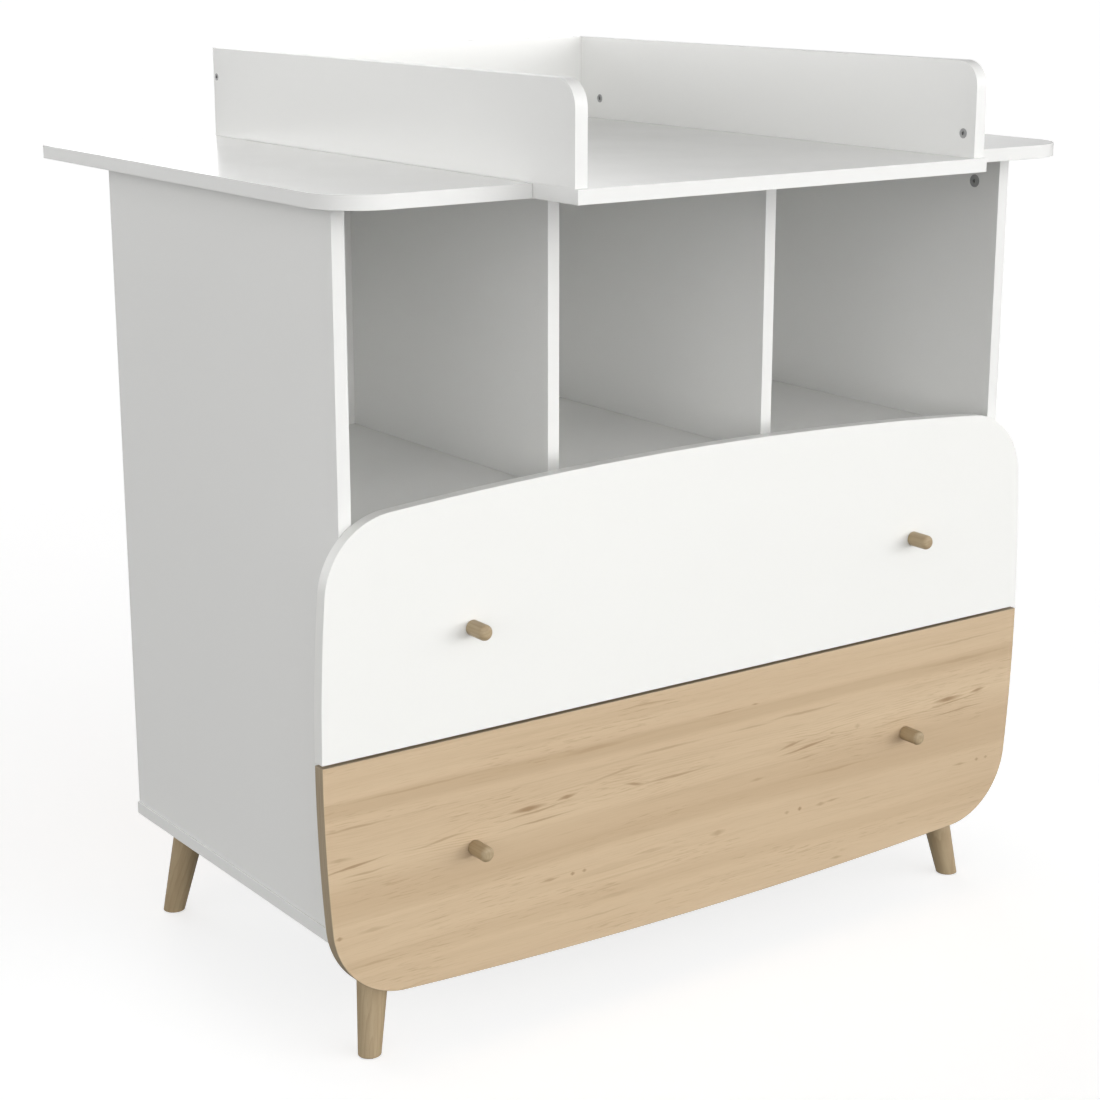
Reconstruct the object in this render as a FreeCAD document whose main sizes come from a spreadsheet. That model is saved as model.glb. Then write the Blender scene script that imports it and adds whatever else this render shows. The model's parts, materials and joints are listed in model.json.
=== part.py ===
import FreeCAD, Part
import Sketcher

import math
import os
import re

from FreeCAD import Placement, Rotation, Vector

# Changing table: a board cabinet on four splayed legs, with three niches, two drawers whose
# fronts make one rounded outline, and a top with side wings round an open-fronted tray.
# Millimetres. X runs to the right, Y to the back, Z up; the origin is on the floor, under the
# middle of the whole object.

os.makedirs("parts", exist_ok=True)
doc = FreeCAD.newDocument("changing_table")

SIZES = {
    # overall and top
    "full_width": 990, "top_depth": 740, "top_level": 924, "board": 15, "seam": 0.4,
    "wing_depth": 665, "wing_round": 60, "tray_width": 547,
    "guard_rise": 103, "guard_setback": 5, "guard_round": 28,
    # cabinet
    "cab_width": 921, "cab_depth": 496, "back_overhang": 99, "floor_proud": 1.8,
    "leg_rise": 129,
    "niche_clear": 332, "shelf_recess": 1, "divider_offset": 151, "divider_recess": 67,
    "panel_thick": 3, "panel_inset": 16, "groove_deep": 6, "rail_rise": 70,
    # drawer fronts: one outline of three kinds of arc, cut in two
    "front_gap": 0.8, "front_level": 344.4, "front_up": 273.5, "front_down": 274.1,
    "crown_radius": 5290, "keel_radius": 7650, "flank_radius": 2110,
    "crown_corner": 84, "keel_corner": 92, "split_level": 349.3, "split_gap": 3,
    # drawer boxes and slides
    "box_board": 12, "box_rise": 180, "box_long": 450, "upper_box": 368, "lower_box": 158,
    "bottom_lift": 10, "box_cam_low": 45, "box_cam_high": 140,
    "box_screw_low": 25, "box_screw_high": 150,
    "slide_room": 12.7, "slide_sheet": 1.2, "slide_start": 3, "slide_long": 446,
    "slide_lift": 60, "outer_reach": 9, "middle_start": 3, "middle_reach": 10.5,
    "inner_start": 6, "outer_half": 22.5, "middle_half": 18.5, "inner_half": 14.5,
    "middle_short": 10, "pin_radius": 1.8, "pin_long": 10, "pin_head": 3.5,
    "pin_head_thick": 1.5, "pin_first": 40, "pin_pitch": 180,
    # knobs
    "knob_radius": 8.5, "knob_long": 28, "knob_edge": 5, "knob_foot": 1, "knob_offset": 313,
    "upper_knob": 465, "lower_knob": 221, "knob_bore": 2, "knob_bore_deep": 16,
    "knob_shank": 1.9, "knob_bite": 14, "knob_hole": 2.2,
    "knob_screw_head": 4.5, "knob_screw_head_thick": 2.5,
    # legs
    "leg_side_inset": 53, "leg_front_inset": 37, "leg_splay": 0.166,
    "leg_top": 19.7, "leg_foot": 12.6, "leg_edge": 0.8, "glide_radius": 9.5, "glide_thick": 1,
    "spike_radius": 1.2, "spike_long": 14, "stud_radius": 4, "stud_long": 42, "stud_deep": 30,
    "insert_radius": 6, "insert_deep": 12,
    # fittings
    "cam_radius": 7.5, "small_cam": 5.3, "cam_deep": 12, "box_cam_deep": 10, "cam_reach": 35.5,
    "guard_reach": 25.5, "box_reach": 24, "bolt_radius": 3, "bolt_bite": 11,
    "screw_head": 4.2, "screw_head_deep": 2.5, "screw_shank": 3.4, "screw_long": 50,
    "dowel_radius": 4, "dowel_long": 30, "dowel_cover": 5,
    "socket_radius": 2.2, "socket_deep": 2,
    "nail_radius": 0.8, "nail_long": 16, "nail_head": 2.5, "nail_head_thick": 1,
    "nail_pitch": 200,
    # where the fittings sit
    "front_row": 40, "rear_row": 60, "divider_row": 90, "rail_dowel": 18, "rail_dowel_pitch": 34,
    "guard_rear_cam": 56.5, "guard_front_cam": 23, "guard_screw": 69, "guard_dowel": 120,
    "seam_dowel": 85, "seam_dowel_pitch": 262,
}

sheet = doc.addObject("Spreadsheet::Sheet", "sizes")
for row, (alias, number) in enumerate(SIZES.items(), start=1):
    sheet.set("A%d" % row, alias)
    sheet.set("B%d" % row, str(number))
    sheet.setAlias("B%d" % row, alias)
doc.recompute()

# Places that many pieces share, as expressions on the sheet.
CAB_HALF = "cab_width / 2"
INNER = "(cab_width / 2 - board)"
TRAY_HALF = "tray_width / 2"
TOP_FRONT, TOP_BACK = "-top_depth / 2", "top_depth / 2"
CAB_BACK = "(top_depth / 2 - back_overhang)"
CAB_FRONT = "(top_depth / 2 - back_overhang - cab_depth)"
PANEL_BACK = "(%s - panel_inset)" % CAB_BACK
PANEL_FRONT = "(%s - panel_inset - panel_thick)" % CAB_BACK
UNDER_TOP = "(top_level - board)"
SHELF_TOP = "(top_level - board - niche_clear)"
SHELF_UNDER = "(%s - board)" % SHELF_TOP
FLOOR_TOP = "(leg_rise + board)"
GUARD_TOP = "(top_level + guard_rise)"
FRONT_REAR = "(%s - front_gap)" % CAB_FRONT
BOX_HALF = "(%s - slide_room)" % INNER
BOX_END = "(%s + box_long)" % FRONT_REAR

LEFT, RIGHT = -1, 1
X, Y, Z = Vector(1, 0, 0), Vector(0, 1, 0), Vector(0, 0, 1)

nodes = {}    # finished sub-parts by name
blanks = {}   # boards before drilling
bores = {}    # what is cut out of each board
groups = {}   # identical fittings that share one node


def size(alias):
    return float(sheet.get(alias))


def linked(text):
    """The expression with each size pointing at its cell."""
    return re.sub(r"[a-z_]+", lambda word: "sizes." + word.group(), text)


def bind(thing, **texts):
    for name, text in texts.items():
        thing.setExpression(name, linked(text))


def place(thing, at, turn=Rotation()):
    thing.Placement = Placement(Vector(), turn)
    for axis, text in zip("xyz", at):
        thing.setExpression("Placement.Base." + axis, linked(text))
    return thing


def shift(point, direction, amount):
    """The point moved by an amount along one of the axes."""
    moved = []
    for text, step in zip(point, direction):
        moved.append("%s %s (%s)" % (text, "+" if step > 0 else "-", amount) if step else text)
    return tuple(moved)


def mirrored(side, low, high):
    """A range measured outwards from the middle, on the left or on the right."""
    return (low, high) if side == RIGHT else ("-(%s)" % high, "-(%s)" % low)


def signed(side, text):
    return text if side == RIGHT else "-(%s)" % text


def box(name, x, y, z):
    thing = doc.addObject("Part::Box", name)
    bind(thing, Length="(%s) - (%s)" % (x[1], x[0]), Width="(%s) - (%s)" % (y[1], y[0]),
         Height="(%s) - (%s)" % (z[1], z[0]))
    return place(thing, (x[0], y[0], z[0]))


def rod(name, radius, length, at, axis):
    thing = doc.addObject("Part::Cylinder", name)
    bind(thing, Radius=radius, Height=length)
    return place(thing, at, Rotation(Z, axis))


def fuse(name, things):
    if len(things) == 1:
        return things[0]
    joined = doc.addObject("Part::MultiFuse", name)
    joined.Shapes = things
    return joined


def cut(name, base, tools):
    result = doc.addObject("Part::Cut", name)
    result.Base = base
    result.Tool = fuse(name + "_bores", tools)
    return result


def common(name, base, tool):
    result = doc.addObject("Part::Common", name)
    result.Base = base
    result.Tool = tool
    return result


def drill(board, tool):
    bores.setdefault(board, []).append(tool)


def board(name, x, y, z):
    blanks[name] = box(name + "_blank", x, y, z)


# ---- sketched bodies ---------------------------------------------------------------------

def sketch_on(body, role):
    plane = [feature for feature in body.Origin.OriginFeatures if feature.Role == role][0]
    sketch = body.newObject("Sketcher::SketchObject", body.Name + "_outline")
    sketch.AttachmentSupport = [(plane, "")]
    sketch.MapMode = "FlatFace"
    return sketch


def pad(body, sketch, thickness):
    feature = body.newObject("PartDesign::Pad", body.Name + "_pad")
    feature.Profile = sketch
    bind(feature, Length=thickness)
    doc.recompute()
    return feature


def round_corner(body, base, corner, radius):
    """Round the edge that crosses the board at a corner of its outline."""
    for index, edge in enumerate(base.Shape.Edges, start=1):
        ends = [vertex.Point for vertex in edge.Vertexes]
        local = [(end - base.Shape.BoundBox.Center) for end in ends]
        if len(ends) == 2 and all(corner(point) for point in local):
            fillet = body.newObject("PartDesign::Fillet", body.Name + "_round")
            fillet.Base = (base, ["Edge%d" % index])
            bind(fillet, Radius=radius)
            doc.recompute()
            return fillet
    raise RuntimeError("no corner to round on " + body.Name)


def chain(sketch, count):
    """Join the ends of the outline's lines into a loop."""
    for index in range(count):
        sketch.addConstraint(Sketcher.Constraint("Coincident", index, 2, (index + 1) % count, 1))


def rectangle(sketch, wide, tall, width_text, height_text):
    corners = [Vector(0, 0, 0), Vector(wide, 0, 0), Vector(wide, tall, 0), Vector(0, tall, 0)]
    for start, end in zip(corners, corners[1:] + corners[:1]):
        sketch.addGeometry(Part.LineSegment(start, end))
    chain(sketch, 4)
    for index, kind in enumerate(("Horizontal", "Vertical", "Horizontal", "Vertical")):
        sketch.addConstraint(Sketcher.Constraint(kind, index))
    sketch.addConstraint(Sketcher.Constraint("Coincident", 0, 1, -1, 1))
    across = sketch.addConstraint(Sketcher.Constraint("DistanceX", 0, 1, 0, 2, wide))
    up = sketch.addConstraint(Sketcher.Constraint("DistanceY", 1, 1, 1, 2, tall))
    sketch.setExpression("Constraints[%d]" % across, linked(width_text))
    sketch.setExpression("Constraints[%d]" % up, linked(height_text))


def wing(side):
    """A side board of the top, with its outer front corner rounded."""
    name = "left_wing" if side == LEFT else "right_wing"
    body = doc.addObject("PartDesign::Body", name + "_blank")
    sketch = sketch_on(body, "XY_Plane")
    wide = (size("full_width") - size("tray_width")) / 2 - size("seam")
    rectangle(sketch, wide, size("wing_depth"),
              "(full_width - tray_width) / 2 - seam", "wing_depth")
    base = pad(body, sketch, "board")
    round_corner(body, base, lambda point: point.x * side > 0 and point.y < 0, "wing_round")
    low = mirrored(side, TRAY_HALF + " + seam", "full_width / 2")[0]
    blanks[name] = place(body, (low, TOP_BACK + " - wing_depth", UNDER_TOP))


def side_guard(side):
    """A side wall of the tray, with its upper front corner rounded."""
    name = "tray_left_guard" if side == LEFT else "tray_right_guard"
    body = doc.addObject("PartDesign::Body", name + "_blank")
    sketch = sketch_on(body, "YZ_Plane")
    rectangle(sketch, size("top_depth") - size("guard_setback"), size("guard_rise"),
              "top_depth - guard_setback", "guard_rise")
    base = pad(body, sketch, "board")
    round_corner(body, base, lambda point: point.y < 0 and point.z > 0, "guard_round")
    low = mirrored(side, TRAY_HALF + " - board", TRAY_HALF)[0]
    blanks[name] = place(body, (low, TOP_FRONT + " + guard_setback", "top_level"))


def arc_between(sketch, centre, radius, start, end):
    """Add the short arc from start to end; returns its index and which end is the start."""
    first = math.atan2(start.y - centre.y, start.x - centre.x)
    second = math.atan2(end.y - centre.y, end.x - centre.x)
    turn = (second - first + math.pi) % (2 * math.pi) - math.pi
    low = first if turn > 0 else second
    circle = Part.Circle(centre, Z, radius)
    index = sketch.addGeometry(Part.ArcOfCircle(circle, low, low + abs(turn)))
    return index, (1, 2) if turn > 0 else (2, 1)


def drawer_front(name, side, reach, radius, corner):
    """The upper (side 1) or lower (side -1) half of the rounded outline."""
    body = doc.addObject("PartDesign::Body", name + "_blank")
    sketch = sketch_on(body, "XZ_Plane")
    split_text = "split_level + %d * split_gap / 2 - front_level" % side
    split = size("split_level") + side * size("split_gap") / 2 - size("front_level")
    flank = size("flank_radius")
    flank_x = size("full_width") / 2 - flank
    arch = size(radius)
    arch_y = side * (size(reach) - arch)
    # where the flank circle and the arch circle cross, right of the middle
    apart = math.hypot(flank_x, arch_y)
    along = (flank ** 2 - arch ** 2 + apart ** 2) / (2 * apart)
    across = math.sqrt(flank ** 2 - along ** 2)
    unit = Vector(-flank_x, arch_y, 0) / apart
    normal = Vector(-unit.y, unit.x, 0)
    crossings = [Vector(flank_x, 0, 0) + unit * along + normal * across * way for way in (-1, 1)]
    tip = [point for point in crossings if point.x > 0 and point.y * side > 0][0]
    edge_x = flank_x + math.sqrt(flank ** 2 - split ** 2)
    right_split, left_split = Vector(edge_x, split, 0), Vector(-edge_x, split, 0)
    left_tip = Vector(-tip.x, tip.y, 0)

    line = sketch.addGeometry(Part.LineSegment(left_split, right_split))
    right, right_ends = arc_between(sketch, Vector(flank_x, 0, 0), flank, right_split, tip)
    top, top_ends = arc_between(sketch, Vector(0, arch_y, 0), arch, tip, left_tip)
    left, left_ends = arc_between(sketch, Vector(-flank_x, 0, 0), flank, left_tip, left_split)
    loop = ((line, 2, right, right_ends[0]), (right, right_ends[1], top, top_ends[0]),
            (top, top_ends[1], left, left_ends[0]), (left, left_ends[1], line, 1))
    for joint in loop:
        sketch.addConstraint(Sketcher.Constraint("Coincident", *joint))
    sketch.addConstraint(Sketcher.Constraint("Horizontal", line))
    sketch.addConstraint(Sketcher.Constraint("PointOnObject", top, 3, -2))
    for flank_arc in (left, right):
        sketch.addConstraint(Sketcher.Constraint("PointOnObject", flank_arc, 3, -1))
    flank_text = "full_width / 2 - flank_radius"
    for constraint, text in (
            (("DistanceY", -1, 1, line, 1, split), split_text),
            (("Radius", right, flank), "flank_radius"),
            (("Radius", left, flank), "flank_radius"),
            (("Radius", top, arch), radius),
            (("DistanceX", -1, 1, right, 3, flank_x), flank_text),
            (("DistanceX", -1, 1, left, 3, -flank_x), "-(%s)" % flank_text),
            (("DistanceY", -1, 1, top, 3, arch_y), "%d * (%s - %s)" % (side, reach, radius))):
        index = sketch.addConstraint(Sketcher.Constraint(*constraint))
        sketch.setExpression("Constraints[%d]" % index, linked(text))
    base = pad(body, sketch, "board")
    for way in (LEFT, RIGHT):
        base = round_corner(body, base, lambda point: abs(point.x * way - tip.x) < 1
                            and point.z * side > 0, corner)
    blanks[name] = place(body, ("0", FRONT_REAR, "front_level"))


def knob(name, x, level):
    """A turned peg that stands out of a drawer front, with rounded rims and a screw hole."""
    body = doc.addObject("PartDesign::Body", name)
    sketch = sketch_on(body, "XZ_Plane")
    radius, long, edge = size("knob_radius"), size("knob_long"), size("knob_edge")
    hole, hole_deep, foot = size("knob_bore"), size("knob_bore_deep"), size("knob_foot")
    bow = 1 - math.sqrt(0.5)
    outline = [
        Part.LineSegment(Vector(hole, 0, 0), Vector(radius - foot, 0, 0)),
        Part.LineSegment(Vector(radius - foot, 0, 0), Vector(radius, foot, 0)),
        Part.LineSegment(Vector(radius, foot, 0), Vector(radius, long - edge, 0)),
        Part.Arc(Vector(radius, long - edge, 0),
                 Vector(radius - edge * bow, long - edge * bow, 0),
                 Vector(radius - edge, long, 0)),
        Part.LineSegment(Vector(radius - edge, long, 0), Vector(0, long, 0)),
        Part.LineSegment(Vector(0, long, 0), Vector(0, hole_deep, 0)),
        Part.LineSegment(Vector(0, hole_deep, 0), Vector(hole, hole_deep, 0)),
        Part.LineSegment(Vector(hole, hole_deep, 0), Vector(hole, 0, 0)),
    ]
    for piece in outline:
        sketch.addGeometry(piece)
    chain(sketch, len(outline))
    widest = sketch.addConstraint(Sketcher.Constraint("DistanceX", -1, 1, 2, 1, radius))
    height = sketch.addConstraint(Sketcher.Constraint("DistanceY", -1, 1, 4, 1, long))
    sketch.setExpression("Constraints[%d]" % widest, linked("knob_radius"))
    sketch.setExpression("Constraints[%d]" % height, linked("knob_long"))
    turning = body.newObject("PartDesign::Revolution", name + "_turning")
    turning.Profile = sketch
    turning.ReferenceAxis = (sketch, ["V_Axis"])
    turning.Angle = 360
    place(body, (x, FRONT_REAR + " - board", level), Rotation(X, 90))
    nodes[name] = body


# ---- fittings ----------------------------------------------------------------------------

def socket(at, axis):
    """A six-sided drive recess, cut from a face along the axis."""
    thing = doc.addObject("Part::Prism", "socket")
    thing.Polygon = 6
    bind(thing, Circumradius="socket_radius", Height="socket_deep")
    return place(thing, at, Rotation(Z, axis))


def add(group, piece):
    groups.setdefault(group, []).append(piece)


def cam_joint(group, host, mate, centre, inward, towards, reach,
              radius="cam_radius", deep="cam_deep", thick="board"):
    """A round cam lock in one board's face that pulls on a bolt in the next board."""
    bolt_at = shift(centre, inward, thick + " / 2")
    bolt = rod("cam_bolt", "bolt_radius", "%s + bolt_bite" % reach, bolt_at, towards)
    lock = rod("cam_lock", radius, deep, centre, inward)
    drill(host, lock)
    drill(host, bolt)
    drill(mate, bolt)
    add(group, cut("cam_lock", lock, [bolt, socket(centre, inward)]))
    add(group, bolt)


def screw(group, boards, at, axis):
    """A wide-headed board screw, sunk level with the face that it enters."""
    head = rod("screw_head", "screw_head", "screw_head_deep", at, axis)
    shank = rod("screw_shank", "screw_shank", "screw_long", at, axis)
    blank = fuse("screw_blank", [head, shank])
    for name in boards:
        drill(name, blank)
    add(group, cut("screw", blank, [socket(at, axis)]))


def dowel(boards, at, axis):
    """A wooden dowel, given by its end."""
    pin = rod("dowel", "dowel_radius", "dowel_long", at, axis)
    for name in boards:
        drill(name, pin)
    add("wood_dowels", pin)


# ---- cabinet -----------------------------------------------------------------------------

def build_cabinet():
    depth = (CAB_FRONT, CAB_BACK)
    # the bottom panel stands a little proud of the sides, and of the back
    proud = CAB_HALF + " + floor_proud"
    board("bottom_panel", ("-(%s)" % proud, proud), (CAB_FRONT, CAB_BACK + " + floor_proud"),
          ("leg_rise", FLOOR_TOP))
    for side, name in ((LEFT, "left_side_panel"), (RIGHT, "right_side_panel")):
        board(name, mirrored(side, INNER, CAB_HALF), depth, (FLOOR_TOP, UNDER_TOP))
        drill(name, box("groove", mirrored(side, INNER, INNER + " + groove_deep"),
                        (PANEL_FRONT, PANEL_BACK), (FLOOR_TOP, UNDER_TOP)))
    board("niche_shelf", ("-" + INNER, INNER), (CAB_FRONT + " + shelf_recess", PANEL_FRONT),
          (SHELF_UNDER, SHELF_TOP))
    rail = (PANEL_FRONT + " - board", PANEL_FRONT)
    rail_span = (UNDER_TOP + " - rail_rise", UNDER_TOP)
    for side, name in ((LEFT, "left_divider"), (RIGHT, "right_divider")):
        middle = signed(side, "divider_offset")
        faces = (middle + " - board / 2", middle + " + board / 2")
        board(name, faces, (CAB_FRONT + " + divider_recess", PANEL_FRONT),
              (SHELF_TOP, UNDER_TOP))
        drill(name, box("notch", faces, rail, rail_span))
    board("rear_rail", ("-" + INNER, INNER), rail, rail_span)
    board("back_panel", ("-%s - groove_deep" % INNER, INNER + " + groove_deep"),
          (PANEL_FRONT, PANEL_BACK), (FLOOR_TOP, UNDER_TOP))


def join_cabinet():
    front, back = CAB_FRONT + " + front_row", CAB_BACK + " - rear_row"
    cam_level = UNDER_TOP + " - cam_reach"
    for side, word in ((LEFT, "left"), (RIGHT, "right")):
        panel, divider, wing_name = word + "_side_panel", word + "_divider", word + "_wing"
        inner = signed(side, INNER)
        edge = signed(side, "(%s + board / 2)" % INNER)
        divider_x = signed(side, "divider_offset")
        for y in (front, back):
            # side panel to wing, shelf to side panel
            cam_joint("cam_fittings", panel, wing_name, (inner, y, cam_level), X * side, Z,
                      "cam_reach")
            shelf_cam = (signed(side, "(%s - cam_reach)" % INNER), y, SHELF_UNDER)
            cam_joint("cam_fittings", "niche_shelf", panel, shelf_cam, Z, X * side, "cam_reach")
            # bottom panel to side panel, from below
            screw("board_screws", ("bottom_panel", panel), (edge, y, "leg_rise"), Z)
        for y in (front + " + divider_recess", CAB_BACK + " - divider_row"):
            # divider to tray base, and shelf to divider from below
            face = (divider_x + " + board / 2", y, cam_level)
            cam_joint("cam_fittings", divider, "tray_base", face, -X, Z, "cam_reach")
            screw("board_screws", ("niche_shelf", divider), (divider_x, y, SHELF_UNDER), Z)
        for drop in ("rail_dowel", "(rail_dowel + rail_dowel_pitch)"):
            # rear rail to side panel
            start = signed(side, "(%s - dowel_cover - dowel_long)" % CAB_HALF)
            at = (start, PANEL_FRONT + " - board / 2", UNDER_TOP + " - " + drop)
            dowel(("rear_rail", panel), at, X * side)
        # side panel to wing, between the cam locks
        dowel((panel, wing_name), (edge, "0", "top_level - dowel_cover - dowel_long"), Z)
    for x in ["%d * nail_pitch" % step for step in (-2, -1, 0, 1, 2)]:
        for level, target in ((SHELF_TOP + " - board / 2", "niche_shelf"),
                              (UNDER_TOP + " - rail_rise / 2", "rear_rail")):
            at = (x, PANEL_BACK, level)
            nail = fuse("nail", [rod("nail_shank", "nail_radius", "nail_long", at, -Y),
                                 rod("nail_head", "nail_head", "nail_head_thick", at, Y)])
            for name in ("back_panel", target):
                drill(name, nail)
            add("back_panel_nails", nail)


# ---- top and tray ------------------------------------------------------------------------

def build_top():
    span = ("-" + TRAY_HALF, TRAY_HALF)
    board("tray_base", span, (TOP_FRONT, TOP_BACK), (UNDER_TOP, "top_level"))
    inside = TRAY_HALF + " - board"
    board("tray_back_guard", ("-(%s)" % inside, inside), (TOP_BACK + " - board", TOP_BACK),
          ("top_level", GUARD_TOP))
    for side in (LEFT, RIGHT):
        wing(side)
        side_guard(side)


def join_top():
    cam_level = "top_level + guard_reach"
    for side, word in ((LEFT, "left"), (RIGHT, "right")):
        guard = "tray_%s_guard" % word
        inner = signed(side, "(%s - board)" % TRAY_HALF)
        for y in (TOP_BACK + " - guard_rear_cam", TOP_FRONT + " + guard_front_cam"):
            cam_joint("cam_fittings", guard, "tray_base", (inner, y, cam_level), X * side, -Z,
                      "guard_reach", radius="small_cam")
        rear = TOP_BACK + " - board / 2"
        outer = signed(side, TRAY_HALF)
        screw("board_screws", (guard, "tray_back_guard"),
              (outer, rear, "top_level + guard_screw"), -X * side)
        dowel((guard, "tray_back_guard"),
              (signed(side, "(%s - dowel_cover)" % TRAY_HALF), rear, cam_level), -X * side)
        dowel(("tray_base", "tray_back_guard"),
              (signed(side, "guard_dowel"), rear, UNDER_TOP + " + dowel_cover"), Z)
        for step in (0, 1, 2):
            # dowels across the seam between tray base and wing
            start = signed(side, "(%s - dowel_long / 2)" % TRAY_HALF)
            y = TOP_BACK + " - seam_dowel - %d * seam_dowel_pitch" % step
            dowel(("tray_base", word + "_wing"), (start, y, "top_level - board / 2"), X * side)


# ---- legs --------------------------------------------------------------------------------

def build_legs():
    spare = 20     # how far a blank runs on past the faces that trim it
    far = "full_width"
    for front, row in ((True, "front"), (False, "rear")):
        for side, word in ((LEFT, "left"), (RIGHT, "right")):
            name = "%s_%s_leg" % (row, word)
            lean = Vector(side, -1 if front else 1, 0) * size("leg_splay")
            axis = (Z - lean).normalize()
            rise = 1 / axis.z
            x = signed(side, "(%s - leg_side_inset)" % CAB_HALF)
            y = CAB_FRONT + " + leg_front_inset" if front else CAB_BACK + " - leg_front_inset"

            def on_axis(level):
                """The point of the leg's axis at a height below the cabinet."""
                drop = "(leg_rise - (%s))" % level
                return (shift((x, y, level), (lean.x, lean.y, 0), "leg_splay * " + drop))

            cone = doc.addObject("Part::Cone", name + "_turning")
            taper = "(leg_top - leg_foot) / leg_rise"
            bind(cone, Radius1="leg_foot - %d * %s" % (spare, taper),
                 Radius2="leg_top + %d * %s" % (spare, taper),
                 Height="(leg_rise + %d) * %.9f" % (2 * spare, rise))
            place(cone, on_axis("-%d" % spare), Rotation(Z, axis))
            slab = box("leg_slab", ("-" + far, far), ("-" + far, far), ("glide_thick", "leg_rise"))
            turned = common(name + "_blank", cone, slab)
            doc.recompute()
            lowest = [number for number, edge in enumerate(turned.Shape.Edges, start=1)
                      if edge.BoundBox.ZMax < size("glide_thick") + 0.01]
            eased = doc.addObject("Part::Fillet", name + "_eased")
            eased.Base = turned
            eased.Edges = [(number, size("leg_edge"), size("leg_edge")) for number in lowest]
            blanks[name] = eased

            # hanger bolt in a threaded insert in the bottom panel
            stud = rod("leg_stud", "stud_radius", "stud_long",
                       on_axis("leg_rise - stud_deep"), axis)
            core = rod("insert_core", "insert_radius", "%d" % (2 * spare),
                       on_axis("leg_rise - %d" % (spare / 2)), axis)
            collar = box("insert_slab", ("-" + far, far), ("-" + far, far),
                         ("leg_rise", "leg_rise + insert_deep"))
            insert = common("insert_blank", core, collar)
            drill("bottom_panel", insert)
            drill(name, stud)
            add("leg_fixings", stud)
            add("leg_fixings", cut("leg_insert", insert, [stud]))

            # glide: a disc under the foot with a short spike
            foot = on_axis("0")
            spike = rod("glide_spike", "spike_radius", "spike_long", foot, Z)
            disc = rod("glide_disc", "glide_radius", "glide_thick", foot, Z)
            glide = fuse("glide", [disc, spike])
            drill(name, glide)
            add("leg_glides", glide)


# ---- drawers -----------------------------------------------------------------------------

def profile(name, side, web, flange, half, level, y):
    """A channel of folded sheet: a web and two flanges, measured in from the side panel."""

    def across(span):
        return mirrored(side, "%s - (%s)" % (INNER, span[1]), "%s - (%s)" % (INNER, span[0]))

    low, high = "%s - %s" % (level, half), "%s + %s" % (level, half)
    return fuse(name, [
        box(name + "_web", across(web), y, (low, high)),
        box(name + "_lower", across(flange), y, (low, low + " + slide_sheet")),
        box(name + "_upper", across(flange), y, (high + " - slide_sheet", high))])


def build_slide(drawer, side, word, box_level):
    """Three nested channels: on the side panel, between, and on the drawer side."""
    level = "(%s + slide_lift)" % box_level
    start = "(%s + slide_start)" % CAB_FRONT
    length = (start, start + " + slide_long")
    middle = (start, start + " + slide_long - middle_short")
    stem = "%s_%s_slide_" % (drawer, word)
    inner_web = "slide_room - slide_sheet"
    blanks[stem + "outer"] = profile(stem + "outer_blank", side, ("0", "slide_sheet"),
                                     ("0", "outer_reach"), "outer_half", level, length)
    blanks[stem + "inner"] = profile(stem + "inner_blank", side, (inner_web, "slide_room"),
                                     ("inner_start", "slide_room"), "inner_half", level, length)
    nodes[stem + "middle"] = profile(stem + "middle", side,
                                     ("middle_start", "middle_start + slide_sheet"),
                                     ("middle_start", "middle_reach"), "middle_half",
                                     level, middle)
    for step in (0, 1, 2):
        y = start + " + pin_first + %d * pin_pitch" % step
        for owner, target, face, axis, group in (
                (stem + "outer", word + "_side_panel", "slide_sheet", X * side, "slide_screws"),
                (stem + "inner", "%s_drawer_%s_side" % (drawer, word), inner_web, -X * side,
                 drawer + "_drawer_slide_screws")):
            at = (signed(side, "(%s - (%s))" % (INNER, face)), y, level)
            pin = fuse("pin", [rod("pin_shank", "pin_radius", "pin_long", at, axis),
                               rod("pin_head", "pin_head", "pin_head_thick", at, -axis)])
            drill(owner, pin)
            drill(target, pin)
            add(group, pin)


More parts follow.
